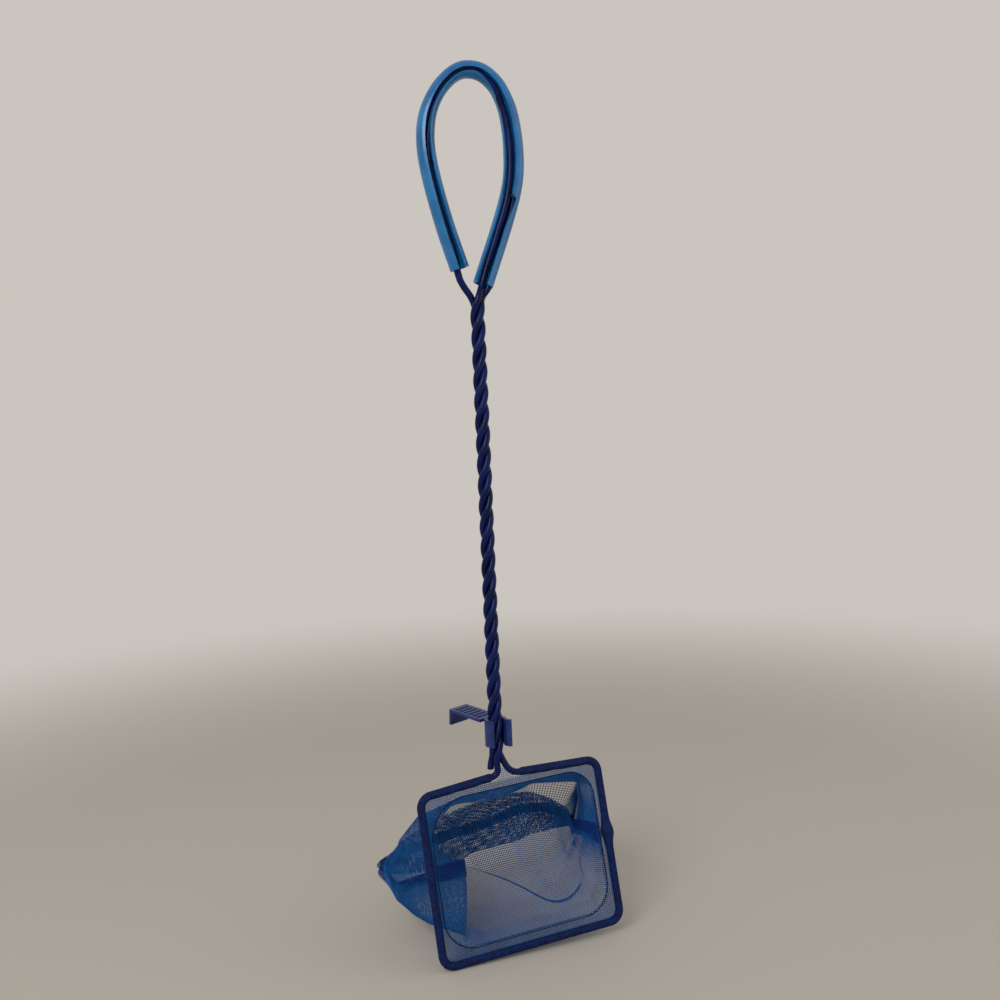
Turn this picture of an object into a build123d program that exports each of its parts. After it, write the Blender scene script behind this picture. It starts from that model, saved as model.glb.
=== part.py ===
"""Aquarium fish net: a hoop, a shaft of three twisted strands and a hand loop, all bent from one
coated steel wire, with a split grip sleeve, a sliding tank-rim clip and a sewn mesh bag.

Millimetres. +Z runs up the shaft, +X to the right across the hoop, and the bag hangs behind the
hoop, towards +Y. The origin is where a peg bears on the inside of the hand loop.
"""

import os
from math import atan2, ceil, cos, degrees, hypot, pi, radians, sin, sqrt, tan

from build123d import *

# Coated wire
wire_d = 3.4
core_d = 2.4
core_gap = 0.02
strand_gap = 0.2

# Twisted shaft
shaft_length = 228.5
twist_turns = 7.22
first_strand_angle = -80.0
stub_drop = 9.0
stub_back = 1.9
stub_left = 3.0

# Hand loop and its loose wire end
loop_height = 112.7
loop_width = 40.2
loop_widest_rise = 73.5
loop_shoulder_width = 22.0
loop_shoulder_drop = 7.85
loop_shoulder_angle = 45.0
left_leg_angle = 24.0
right_leg_angle = 18.0
left_foot_reach = 8.6
right_foot_reach = 3.8
loop_foot_rise = 12.5
tail_length = 44.0
tail_gap = 0.5

# Split grip sleeve
sleeve_bore = 8.2
sleeve_wall = 1.0
sleeve_slit = 5.0
sleeve_turn = 22.0
sleeve_left_reach = 0.5
sleeve_right_reach = 5.5

# Hoop, bent forward and a little sideways at the neck
hoop_width = 97.0
hoop_height = 84.2
hoop_corner_r = 6.0
hoop_shift = 5.2
hoop_tilt = -9.0
hoop_lean = -3.7
neck_drop = 14.7
roof_rise = 3.0
leg_spread_left = 4.5
leg_spread_right = 10.5

# Hem of the bag: casing round the wire, flap and stitch line
hem_wall = 0.4
hem_slack = 0.05
flap_thickness = 0.8
stitch_left = 3.2
stitch_right = 4.6
stitch_top = 3.2
stitch_bottom = 6.0
stitch_corner_r = 16.0
stitch_d = 0.5
sewn_gap = 0.03
gusset_top_drop = 6.5
gusset_top_shift = 2.0

# Mesh bag behind the hoop
panel_thickness = 0.7
bag_depth = 62.0
bag_start = 1.0
side_seam_height = 46.0
ear_height = 38.0
far_edge_height = 49.0
ear_left = 15.5
ear_right = 4.5
far_shoulder = 14.0
bag_corner_r = 6.0
panel_step = 5.0

# Folds of the bag: the pleat in its left side, its upper crease, its floor and its heel
pleat_depth = 18.0
pleat_in = 18.0
pleat_seam_drop = 6.0
pleat_floor_in = 6.0
pleat_floor_rise = 5.0
pleat_top_drop = 9.0
crease_back = 9.0
crease_left_out = 9.0
crease_left_drop = 27.0
crease_right_out = 11.0
crease_right_drop = 19.0
floor_height = 17.0
floor_left_out = 8.0
floor_right_in = 6.0
heel_back = 13.0
heel_height = 26.0
heel_left_out = 12.0
heel_right_in = 2.0

# Openings that stand for the bag's mesh
mesh_pitch = 9.0
mesh_bar = 2.6
mesh_margin = 8.0
seam_width = 5.5
seam_thickness = 1.0
seam_gap = 0.5
seam_start = 2.8

# Tank-rim clip on the shaft
clip_rise = 3.8
clip_height = 13.9
clip_wall = 1.6
clip_clearance = 0.27
clip_opening_angle = 122.0
long_lip_r = 4.0
long_lip_angle = 78.0
short_lip_r = 1.6
short_lip_angle = 40.0
clip_swivel = 17.0
arm_turn = 11.0
arm_length = 22.0
arm_width = 12.5
arm_thickness = 1.5
arm_lift = 1.6
arm_lip_drop = 8.3
arm_rib_count = 6
arm_rib_height = 0.35
arm_rib_width = 0.9
arm_rib_share = 0.7
arm_corner_r = 0.6

# Worked out from the sizes above
wire_r = wire_d / 2
core_r = core_d / 2
coat_bore_r = core_r + core_gap
strand_step = 360 / 3
twist_r = (wire_d + strand_gap) / sqrt(3)
shaft_r = twist_r + wire_r
wire_pair = (wire_d + tail_gap) / 2
sleeve_r = sleeve_bore / 2 + sleeve_wall
loop_top_z = sleeve_r - wire_pair
shaft_top_z = loop_top_z - loop_height
neck_z = shaft_top_z - shaft_length
hem_bore_r = wire_r + hem_slack
hem_r = hem_bore_r + hem_wall
hoop_frame = Pos(0, 0, neck_z) * Rot(X=hoop_tilt) * Rot(Y=hoop_lean)
hoop_left_x = hoop_shift - hoop_width / 2
hoop_right_x = hoop_shift + hoop_width / 2
hoop_bottom_z = -neck_drop - hoop_height
roof_z = roof_rise - neck_drop
mouth_left = stitch_left - hoop_width / 2
mouth_right = hoop_width / 2 - stitch_right
mouth_top = hoop_height - stitch_top


def bulge_point(start, way, end):
    """Halfway point of the arc that leaves start along way and ends at end."""
    chord = end - start
    along = chord.normalized()
    side = way - along * way.dot(along)
    middle = (start + end) * 0.5
    if side.length < 1e-9:
        return middle
    half_turn = radians(way.get_angle(chord)) / 2
    return middle + side.normalized() * (chord.length / 2 * tan(half_turn))


def biarc(start, start_way, end, end_way):
    """Two arcs that leave start along start_way, join smoothly and reach end along end_way."""
    span = end - start
    reach = span.dot(start_way + end_way)
    spread = 2 * (1 - start_way.dot(end_way))
    if spread < 1e-9:
        pull = span.dot(span) / (2 * reach)
    else:
        pull = (sqrt(reach**2 + spread * span.dot(span)) - reach) / spread
    meet = (start + end + (start_way - end_way) * pull) * 0.5
    first = ThreePointArc(start, bulge_point(start, start_way, meet), meet)
    second = ThreePointArc(meet, bulge_point(end, end_way * -1, meet), end)
    return [first, second]


def section_plane(path):
    """Plane square to the start of a path, with its local X axis towards the front."""
    return Plane(origin=path @ 0, x_dir=(0, -1, 0), z_dir=path % 0)


def rod(path, radius):
    return sweep(section_plane(path) * Circle(radius), path=path)


def tube(path, radius, bore_radius):
    return sweep(section_plane(path) * (Circle(radius) - Circle(bore_radius)), path=path)


def coated(name, path):
    """Steel core and plastic coating of one length of wire, as two nodes."""
    return {
        name + "_core": rod(path, core_r),
        name + "_coating": tube(path, wire_r, coat_bore_r),
    }


def strand_angle(number, height):
    """Angle round the shaft, in degrees, of a strand at a height above the neck."""
    start = first_strand_angle + strand_step * number
    return start + 360 * twist_turns * height / shaft_length


def strand_point(number, height):
    angle = radians(strand_angle(number, height))
    return Vector(twist_r * cos(angle), twist_r * sin(angle), neck_z + height)


def strand_way(number, height):
    """Upward direction of a strand: a helix climbing one lay for each turn."""
    angle = radians(strand_angle(number, height))
    climb = shaft_length / (2 * pi * twist_turns * twist_r)
    return Vector(-sin(angle), cos(angle), climb).normalized()


def strand_edges(number):
    """A strand's helix on biarcs of a quarter turn."""
    steps = ceil(4 * twist_turns)
    heights = [shaft_length * i / steps for i in range(steps + 1)]
    edges = []
    for low, high in zip(heights, heights[1:]):
        edges += biarc(
            strand_point(number, low),
            strand_way(number, low),
            strand_point(number, high),
            strand_way(number, high),
        )
    return edges


def make_hoop_line():
    """Hoop wire from the left of the neck round to the right, in the hoop's own plane."""
    apex = Vector(0, 0, roof_z)
    top_left = Vector(hoop_left_x, 0, -neck_drop)
    top_right = Vector(hoop_right_x, 0, -neck_drop)
    start = apex + (top_left - apex).normalized() * leg_spread_left
    finish = apex + (top_right - apex).normalized() * leg_spread_right
    bottom_left = Vector(hoop_left_x, 0, hoop_bottom_z)
    bottom_right = Vector(hoop_right_x, 0, hoop_bottom_z)
    corners = [start, top_left, bottom_left, bottom_right, top_right, finish]
    return hoop_frame * FilletPolyline(*corners, radius=hoop_corner_r)


# Wire: strand 0 leads to the hoop's left leg, strand 1 to its right leg, strand 2 ends at the neck
hoop_line = make_hoop_line()
left_leg = biarc(strand_point(0, 0), strand_way(0, 0) * -1, hoop_line @ 0, hoop_line % 0)
right_leg = biarc(hoop_line @ 1, hoop_line % 1, strand_point(1, 0), strand_way(1, 0))
hoop_path = Wire([*left_leg, *hoop_line.edges(), *right_leg])

stub_end = Vector(-stub_left, stub_back, neck_z - stub_drop)
stub = biarc(stub_end, Vector(0, 0, 1), strand_point(2, 0), strand_way(2, 0))
strand_paths = [
    Wire(strand_edges(0)),
    Wire(strand_edges(1)),
    Wire([*stub, *strand_edges(2)]),
]

up = Vector(0, 0, 1)
right = Vector(1, 0, 0)
loop_left = Vector(-loop_width / 2, 0, shaft_top_z + loop_widest_rise)
loop_top = Vector(0, 0, loop_top_z)
loop_right = Vector(loop_width / 2, 0, shaft_top_z + loop_widest_rise)
left_foot = Vector(-left_foot_reach, 0, shaft_top_z + loop_foot_rise)
right_foot = Vector(right_foot_reach, 0, shaft_top_z + loop_foot_rise)
left_shoulder = Vector(-loop_shoulder_width / 2, 0, loop_top_z - loop_shoulder_drop)
right_shoulder = Vector(loop_shoulder_width / 2, 0, loop_top_z - loop_shoulder_drop)


def leaning(angle):
    """Upward direction in the loop's plane, leaning to the right by an angle from upright."""
    return Vector(sin(radians(angle)), 0, cos(radians(angle)))


left_way = leaning(-left_leg_angle)
right_way = leaning(right_leg_angle) * -1
rising = leaning(loop_shoulder_angle)
falling = leaning(-loop_shoulder_angle) * -1

# The flat part of the loop, from its left foot over the top to its right foot
loop_bow = [
    *biarc(left_foot, left_way, loop_left, up),
    *biarc(loop_left, up, left_shoulder, rising),
    *biarc(left_shoulder, rising, loop_top, right),
    *biarc(loop_top, right, right_shoulder, falling),
    *biarc(right_shoulder, falling, loop_right, up * -1),
    *biarc(loop_right, up * -1, right_foot, right_way),
]
left_entry = biarc(
    strand_point(1, shaft_length), strand_way(1, shaft_length), left_foot, left_way
)
right_entry = biarc(
    right_foot, right_way, strand_point(2, shaft_length), strand_way(2, shaft_length) * -1
)
loop_path = Wire([*left_entry, *loop_bow, *right_entry])


def outside_bow(out):
    """The loop's bow moved outwards by out, arc by arc."""
    arcs = []
    for edge in loop_bow:
        places = []
        for share in (0, 0.5, 1):
            way = edge % share
            places.append(edge @ share + Vector(-way.Z, 0, way.X) * out)
        arcs.append(ThreePointArc(*places))
    return Wire(arcs)


# Loose wire end, beside the loop's right leg
tail_bow = outside_bow(2 * wire_pair)
tail_run = tail_bow.trim(1 - tail_length / tail_bow.length, 1.0)
tail_foot = biarc(
    tail_run @ 1, tail_run % 1, strand_point(0, shaft_length), strand_way(0, shaft_length) * -1
)
tail_path = Wire([*tail_run.edges(), *tail_foot])

# Grip sleeve, centred between the loop's wire and the loose end
sleeve_bow = outside_bow(wire_pair)
sleeve_start = sleeve_bow @ 0 - (sleeve_bow % 0) * sleeve_left_reach
sleeve_finish = sleeve_bow @ 1 + (sleeve_bow % 1) * sleeve_right_reach
sleeve_path = Wire(
    [
        Line(sleeve_start, sleeve_bow @ 0),
        *sleeve_bow.edges(),
        Line(sleeve_bow @ 1, sleeve_finish),
    ]
)


def make_sleeve():
    """Tube with a slit along its front, turned a little inwards, carried round the loop."""
    ring = Circle(sleeve_r) - Circle(sleeve_bore / 2)
    slit = Rot(Z=sleeve_turn) * Pos(sleeve_r, 0) * Rectangle(2 * sleeve_r, sleeve_slit)
    return sweep(section_plane(sleeve_path) * (ring - slit), path=sleeve_path)


def hoop_outline(inset, corner_r):
    """Face inside the hoop's five-sided outline, moved in by inset, in the hoop's plane."""
    left = hoop_left_x + inset
    right_side = hoop_right_x - inset
    top = -neck_drop - inset
    points = [
        (left, top),
        (left, hoop_bottom_z + inset),
        (right_side, hoop_bottom_z + inset),
        (right_side, top),
        (0, roof_z - inset),
    ]
    outline = make_face(Polyline(*points, close=True))
    return fillet(outline.vertices().sort_by(Axis.Y)[:4], corner_r)


def stitch_outline(grow=0.0):
    """Face inside the stitch line, a rectangle with wide round corners."""
    width = mouth_right - mouth_left + 2 * grow
    height = mouth_top - stitch_bottom + 2 * grow
    middle = Pos(
        hoop_shift + (mouth_left + mouth_right) / 2,
        hoop_bottom_z + (stitch_bottom + mouth_top) / 2,
    )
    return middle * RectangleRounded(width, height, stitch_corner_r + grow)


def in_hoop(sketch, front, thickness):
    """Plate in the hoop's plane: its front face at front, measured towards the bag."""
    plate = extrude(Plane.XZ.offset(-front) * sketch, amount=-thickness)
    return hoop_frame * plate


def make_flap():
    outer = hoop_outline(hem_r + sewn_gap, hoop_corner_r - hem_r)
    return in_hoop(outer - stitch_outline(), -flap_thickness / 2, flap_thickness)


def make_stitching():
    """Thread along the stitch line, lying on the front of the flap."""
    line = Plane.XZ.offset(flap_thickness / 2 + sewn_gap + stitch_d / 2)
    path = (line * stitch_outline(stitch_d)).face().outer_wire()
    return hoop_frame * rod(path, stitch_d / 2)


def make_gusset():
    """Triangle of mesh between the two legs at the neck, clear of their coating."""
    base = roof_z - hem_r
    points = [
        (gusset_top_shift, -gusset_top_drop),
        (hem_r - leg_spread_left, base),
        (leg_spread_right - hem_r, base),
    ]
    sheet = make_face(Polyline(*points, close=True))
    plate = in_hoop(sheet, -flap_thickness / 2, flap_thickness)
    for leg in (left_leg, right_leg):
        plate -= rod(Wire(leg), wire_r + sewn_gap)
    return plate.solids().sort_by(SortBy.VOLUME)[-1]


def moved_in(points, distance):
    """Open outline moved to its right-hand side by distance, corner by corner."""
    sides = []
    for (x0, z0), (x1, z1) in zip(points, points[1:]):
        length = hypot(x1 - x0, z1 - z0)
        sides.append(((z1 - z0) / length, (x0 - x1) / length))
    moved = []
    for i, (x, z) in enumerate(points):
        ax, az = sides[max(i - 1, 0)]
        bx, bz = sides[min(i, len(sides) - 1)]
        share = distance / (1 + ax * bx + az * bz)
        moved.append((x + (ax + bx) * share, z + (az + bz) * share))
    return moved


def hoop_point(x, y, z):
    """Point given from the middle of the hoop's bottom wire."""
    return Vector(hoop_shift + x, y, hoop_bottom_z + z)


# Side seams as places (depth, x, z); the left one is folded in at the pleat
far_left = -hoop_width / 2 - ear_left
far_right = hoop_width / 2 + ear_right
left_seam_line = [
    (bag_start, mouth_left, side_seam_height),
    (pleat_depth, mouth_left + pleat_in, side_seam_height - pleat_seam_drop),
    (bag_depth, far_left, ear_height),
]
right_seam_line = [
    (bag_start, mouth_right, side_seam_height),
    (bag_depth, far_right, ear_height),
]


def seam_place(line, depth):
    """Place of a side seam at a depth, on the straight runs of its line."""
    for (d0, x0, z0), (d1, x1, z1) in zip(line, line[1:]):
        if d0 <= depth <= d1:
            share = (depth - d0) / (d1 - d0)
            return x0 + (x1 - x0) * share, z0 + (z1 - z0) * share


def outline_at(depth, left_corner, right_corner, gap):
    """Open outline of a panel at a depth: left seam, two corners, right seam."""
    left_x, left_z = seam_place(left_seam_line, depth)
    right_x, right_z = seam_place(right_seam_line, depth)
    return [(left_x, left_z + gap), left_corner, right_corner, (right_x, right_z + gap)]


def make_upper_sections():
    """Depth, outline and corner radius of the upper panel at its mouth, pleat, crease and far edge."""
    gap = panel_step / 2
    crease_depth = bag_depth - crease_back
    crease_left = (mouth_left - crease_left_out, mouth_top - crease_left_drop)
    crease_right = (mouth_right + crease_right_out, mouth_top - crease_right_drop)
    pleat_z = mouth_top - pleat_top_drop
    far_z = far_edge_height + gap
    corners = [
        (bag_start, (mouth_left, mouth_top), (mouth_right, mouth_top), stitch_corner_r),
        (pleat_depth, (mouth_left, pleat_z), (mouth_right, pleat_z), bag_corner_r),
        (crease_depth, crease_left, crease_right, bag_corner_r),
        (bag_depth, (far_left + far_shoulder, far_z), (far_right - far_shoulder, far_z), bag_corner_r),
    ]
    return [(d, outline_at(d, left, right_, gap), r) for d, left, right_, r in corners]


def make_lower_sections():
    """The same of the lower panel at its mouth, pleat, floor, heel and far edge."""
    gap = -panel_step / 2
    heel_depth = bag_depth - heel_back
    floor_depth = (pleat_depth + heel_depth) / 2
    low = stitch_bottom
    pleat_z = low + pleat_floor_rise
    far_z = far_edge_height + gap
    corners = [
        (bag_start, (mouth_left, low), (mouth_right, low), stitch_corner_r),
        (pleat_depth, (mouth_left + pleat_floor_in, pleat_z), (mouth_right, pleat_z), bag_corner_r),
        (
            floor_depth,
            (mouth_left - floor_left_out, floor_height),
            (mouth_right - floor_right_in, floor_height),
            bag_corner_r,
        ),
        (
            heel_depth,
            (mouth_left - heel_left_out, heel_height),
            (mouth_right - heel_right_in, heel_height),
            bag_corner_r,
        ),
        (bag_depth, (far_left + far_shoulder, far_z), (far_right - far_shoulder, far_z), bag_corner_r),
    ]
    return [(d, outline_at(d, left, right_, gap), r) for d, left, right_, r in corners]


def strip(depth, outline, corner_r, inward):
    """Cross-section of a panel: an open outline with its wall on the inner side."""
    inner = moved_in(outline, inward * panel_thickness)
    outer_points = [hoop_point(x, depth, z) for x, z in outline]
    inner_points = [hoop_point(x, depth, z) for x, z in inner]
    outer_line = FilletPolyline(*outer_points, radius=corner_r)
    inner_line = FilletPolyline(*inner_points, radius=corner_r)
    ends = [
        Line(outer_points[-1], inner_points[-1]),
        Line(inner_points[0], outer_points[0]),
    ]
    return Wire([*outer_line.edges(), ends[0], *inner_line.edges()[::-1], ends[1]])


def between(first, second, share):
    """Outline part of the way from one to another."""
    return [(a + (c - a) * share, b + (d - b) * share) for (a, b), (c, d) in zip(first, second)]


def wall_openings(before, middle, after, depth, length):
    """Blocks that open one row of a panel's three walls. Each is turned along its wall, and deep
    enough for the wall's shift from one end of the row to the other."""
    blocks = []
    for i in range(3):
        (ax, az), (bx, bz) = middle[i], middle[i + 1]
        run = hypot(bx - ax, bz - az)
        ux, uz = (bx - ax) / run, (bz - az) / run
        count = int((run - 2 * mesh_margin) // mesh_pitch)
        for j in range(count):
            cell = (run - 2 * mesh_margin) / count
            place = mesh_margin + (j + 0.5) * cell
            share = place / run
            (px, pz), (qx, qz) = (
                between([o[i]], [o[i + 1]], share)[0] for o in (before, after)
            )
            shift = abs((qz - pz) * ux - (qx - px) * uz)
            block = Box(cell - mesh_bar, length, shift + 8 * panel_thickness)
            turn = Rot(Y=-degrees(atan2(uz, ux)))
            blocks.append(Pos(hoop_point(ax + ux * place, depth, az + uz * place)) * turn * block)
    return blocks


def mesh_openings(sections):
    """Openings in rows between a panel's fold lines."""
    blocks = []
    for (depth, outline, _), (next_depth, next_outline, _) in zip(sections, sections[1:]):
        rows = max(round((next_depth - depth) / mesh_pitch), 1)
        step = (next_depth - depth) / rows
        for row in range(rows):
            shares = (row / rows, (row + 0.5) / rows, (row + 1) / rows)
            lines = [between(outline, next_outline, share) for share in shares]
            blocks += wall_openings(*lines, depth + step * (row + 0.5), step - mesh_bar)
    return blocks


def make_panel(sections, inward):
    """Half of the bag: straight runs of cloth between its fold lines, opened as a plain mesh."""
    cloth = Solid.make_loft([strip(*section, inward) for section in sections], True)
    return hoop_frame * cloth.cut(*mesh_openings(sections))


def make_side_seam(line, side):
    """Overlocked band over a side seam, from the hoop back to the bag's corner."""
    sections = []
    for y in [seam_start, *[depth for depth, _, _ in line[1:]]]:
        x, z = seam_place(line, y)
        near = x + side * seam_gap
        away = near + side * seam_thickness
        corners = [
            hoop_point(near, y, z - seam_width / 2),
            hoop_point(away, y, z - seam_width / 2),
            hoop_point(away, y, z + seam_width / 2),
            hoop_point(near, y, z + seam_width / 2),
        ]
        sections.append(Wire(Polyline(*corners, close=True).edges()))
    return hoop_frame * Solid.make_loft(sections, True)


def make_far_seam():
    """Band along the bag's far edge, behind the two panels."""
    edges = []
    for rise in (-seam_width / 2, seam_width / 2):
        points = [(hoop_shift + x, hoop_bottom_z + z + rise) for x, z in upper_sections[-1][1]]
        edges.append(FilletPolyline(*points, radius=bag_corner_r))
    low, high = edges
    ends = [Line(low @ 0, high @ 0), Line(low @ 1, high @ 1)]
    band = make_face([*low.edges(), *high.edges(), *ends])
    return in_hoop(band, bag_depth + seam_gap, seam_thickness)


def make_clip():
    """Snap-on C with flared lips round the shaft, and a hook arm that hangs on the tank's rim."""
    outer_r = shaft_r + clip_clearance + clip_wall
    middle_r = outer_r - clip_wall / 2
    half_open = clip_opening_angle / 2
    grip = CenterArc((0, 0), middle_r, half_open, 360 - clip_opening_angle)
    long_lip = JernArc(grip @ 0, (grip % 0) * -1, long_lip_r, long_lip_angle)
    short_lip = JernArc(grip @ 1, grip % 1, short_lip_r, -short_lip_angle)
    path = Wire([long_lip.edge(), grip.edge(), short_lip.edge()])
    section = Plane(origin=path @ 0, x_dir=(0, 0, 1), z_dir=path % 0)
    wall = sweep(section * Rectangle(clip_height, clip_wall), path=path)

    arm_start = clip_wall / 2 - outer_r
    arm_end = -outer_r - arm_length
    arm_top = clip_height / 2 + arm_lift
    lip_lean = arm_lip_drop * arm_lift / (arm_start - arm_end)
    side = [
        (arm_start, clip_height / 2),
        (arm_end, arm_top),
        (arm_end - lip_lean, arm_top - arm_lip_drop),
        (arm_end + arm_thickness - lip_lean, arm_top - arm_lip_drop),
        (arm_end + arm_thickness, arm_top - arm_thickness),
        (arm_start, clip_height / 2 - arm_thickness),
    ]
    profile = make_face(Polyline(*side, close=True))
    bend = profile.vertices().group_by(Axis.X)[0].sort_by(Axis.Y)[-1]
    profile = fillet(bend, arm_corner_r)
    arm = extrude(Plane.XZ * profile, amount=arm_width / 2, both=True)

    slope = atan2(arm_lift, arm_end - arm_start)
    for i in range(arm_rib_count):
        along = arm_length * (i + 1) / (arm_rib_count + 1)
        rise = arm_lift * (along + outer_r + arm_start) / (arm_start - arm_end)
        place = Pos(-outer_r - along, 0, clip_height / 2 + rise) * Rot(Y=degrees(-slope))
        arm += place * Box(arm_rib_width, arm_width * arm_rib_share, 2 * arm_rib_height)
    clip = wall + Rot(Z=arm_turn) * arm
    turned = Rot(Z=clip_swivel - 90)
    return Pos(0, 0, neck_z + clip_rise + clip_height / 2) * turned * clip


os.makedirs("parts", exist_ok=True)
upper_sections = make_upper_sections()
nodes = {}
nodes |= coated("hoop_wire", hoop_path)
for number, path in enumerate(strand_paths, start=1):
    nodes |= coated(f"shaft_strand_{number}", path)
nodes |= coated("loop_wire", loop_path)
nodes |= coated("loop_tail", tail_path)
nodes["grip_sleeve"] = make_sleeve()
nodes["hem_casing"] = tube(Wire(hoop_line.edges()), hem_r, hem_bore_r)
nodes["hem_flap"] = make_flap()
nodes["hem_stitching"] = make_stitching()
nodes["neck_gusset"] = make_gusset()
nodes["bag_upper_panel"] = make_panel(upper_sections, 1)
nodes["bag_lower_panel"] = make_panel(make_lower_sections(), -1)
nodes["left_side_seam"] = make_side_seam(left_seam_line, -1)
nodes["right_side_seam"] = make_side_seam(right_seam_line, 1)
nodes["far_edge_seam"] = make_far_seam()
nodes["rim_clip"] = make_clip()
for name, shape in nodes.items():
    print(name, round(shape.volume, 2), shape.is_valid)
    export_step(shape, f"parts/{name}.step")
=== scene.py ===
# %% [markdown]
# # An aquarium fish net
# The net is bent from one length of coated wire: a hoop, a shaft of three twisted strands and a hand
# loop in a split grip sleeve. A bag of fine netting is sewn on the hoop, and a small clip slides on
# the shaft. The wire and the clip come from the frame at their real size. The soft sleeve is shaped
# here, with the loop's wire bent to suit it, and the cloth is made thread by thread.

# %% Frame and units
from math import cos, pi, radians, sin

import bpy
import numpy as np
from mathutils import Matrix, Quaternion, Vector


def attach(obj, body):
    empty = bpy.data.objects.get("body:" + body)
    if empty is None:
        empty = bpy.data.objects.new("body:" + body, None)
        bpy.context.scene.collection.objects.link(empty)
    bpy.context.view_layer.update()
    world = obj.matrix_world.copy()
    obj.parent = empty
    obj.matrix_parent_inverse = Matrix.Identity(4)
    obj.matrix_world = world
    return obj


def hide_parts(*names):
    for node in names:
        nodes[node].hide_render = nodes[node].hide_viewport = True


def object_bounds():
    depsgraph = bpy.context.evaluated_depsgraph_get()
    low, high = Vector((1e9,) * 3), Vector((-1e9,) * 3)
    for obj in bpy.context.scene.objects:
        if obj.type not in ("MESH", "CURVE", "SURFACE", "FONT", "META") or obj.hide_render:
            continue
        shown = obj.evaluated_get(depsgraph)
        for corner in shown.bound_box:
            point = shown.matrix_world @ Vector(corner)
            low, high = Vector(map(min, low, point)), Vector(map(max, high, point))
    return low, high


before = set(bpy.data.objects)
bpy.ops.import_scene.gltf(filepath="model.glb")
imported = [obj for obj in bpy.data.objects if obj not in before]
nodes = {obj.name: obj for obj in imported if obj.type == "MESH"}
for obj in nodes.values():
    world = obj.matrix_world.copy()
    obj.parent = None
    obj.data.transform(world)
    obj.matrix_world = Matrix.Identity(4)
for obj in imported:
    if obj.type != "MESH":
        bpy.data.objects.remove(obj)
cad_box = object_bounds()
mm = 0.001
print("frame box, mm:", np.round(np.array(cad_box) / mm, 1).tolist())

# %% [markdown]
# ## Camera
# The photograph was taken from a little left of the net, at about the height of the shaft's middle.
# A camera needs a place, a point to look at, a small roll and a lens. On a 36 mm sensor a 36 mm lens
# sees as many millimetres across as it stands away.

# %% Camera
camera_place = np.array([-148.6, -482.8, -170.0])
camera_aim = np.array([4.9, -8.4, -207.3])
camera_roll = radians(-2.41)
lens_length = 36.0
sensor_width = 36.0

camera_data = bpy.data.cameras.new("photo_camera")
camera_data.lens = lens_length
camera_data.sensor_width = sensor_width
camera_data.clip_start = 0.01
camera = bpy.data.objects.new("photo_camera", camera_data)
bpy.context.scene.collection.objects.link(camera)
looking = Vector(camera_aim - camera_place).to_track_quat("-Z", "Y")
camera.rotation_mode = "QUATERNION"
camera.rotation_quaternion = looking @ Quaternion((0, 0, 1), camera_roll)
camera.location = camera_place * mm
bpy.context.scene.camera = camera
print("camera stands", round(float(np.linalg.norm(camera_aim - camera_place))), "mm from its aim")

# %% [markdown]
# ## Finishes
# Every finish is a small node tree on Object coordinates, so it needs no unwrapping. A finish here has
# a colour that drifts between two shades, a roughness that drifts with it, and a fine bump.


# %% Finish helper
def srgb(red, green, blue):
    """Colour as written on screen, 0 to 255, turned into the linear values that shaders use."""
    levels = np.array([red, green, blue]) / 255
    linear = np.where(levels <= 0.04045, levels / 12.92, ((levels + 0.055) / 1.055) ** 2.4)
    return (*linear.tolist(), 1.0)


def finish(name, dark, light, patch, roughness, grain, bump, sockets):
    """Colour from dark to light by a noise of patch mm, roughness between two values by the same
    noise, bump of the given height in mm by a noise of grain mm, and other sockets as numbers."""
    material = bpy.data.materials.new(name)
    material.use_nodes = True
    tree = material.node_tree
    shader = tree.nodes["Principled BSDF"]
    place = tree.nodes.new("ShaderNodeTexCoord")

    drift = tree.nodes.new("ShaderNodeTexNoise")
    drift.inputs["Scale"].default_value = 1 / (patch * mm)
    drift.inputs["Detail"].default_value = 3.0
    tree.links.new(place.outputs["Object"], drift.inputs["Vector"])

    shades = tree.nodes.new("ShaderNodeValToRGB")
    shades.color_ramp.elements[0].position = 0.35
    shades.color_ramp.elements[0].color = dark
    shades.color_ramp.elements[1].position = 0.65
    shades.color_ramp.elements[1].color = light
    tree.links.new(drift.outputs["Fac"], shades.inputs["Fac"])
    tree.links.new(shades.outputs["Color"], shader.inputs["Base Color"])

    sheen = tree.nodes.new("ShaderNodeMapRange")
    sheen.inputs["From Min"].default_value = 0.3
    sheen.inputs["From Max"].default_value = 0.7
    sheen.inputs["To Min"].default_value = roughness[0]
    sheen.inputs["To Max"].default_value = roughness[1]
    tree.links.new(drift.outputs["Fac"], sheen.inputs["Value"])
    tree.links.new(sheen.outputs["Result"], shader.inputs["Roughness"])

    fine = tree.nodes.new("ShaderNodeTexNoise")
    fine.inputs["Scale"].default_value = 1 / (grain * mm)
    fine.inputs["Detail"].default_value = 4.0
    tree.links.new(place.outputs["Object"], fine.inputs["Vector"])
    relief = tree.nodes.new("ShaderNodeBump")
    relief.inputs["Distance"].default_value = bump * mm
    relief.inputs["Strength"].default_value = 1.0
    tree.links.new(fine.outputs["Fac"], relief.inputs["Height"])
    tree.links.new(relief.outputs["Normal"], shader.inputs["Normal"])

    for socket, value in sockets.items():
        shader.inputs[socket].default_value = value
    return material


def paint(material, *names):
    """Gives carried-over nodes of the frame a finish."""
    for name in names:
        for slot in nodes[name].material_slots:
            slot.material = material


# %% [markdown]
# ## Wire, sleeve and clip
# The wire is steel in a glossy navy coating. Handling leaves the gloss uneven. The grip sleeve is
# a clear blue soft plastic, and the clip is moulded in a navy a shade lighter than the wire.

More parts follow.
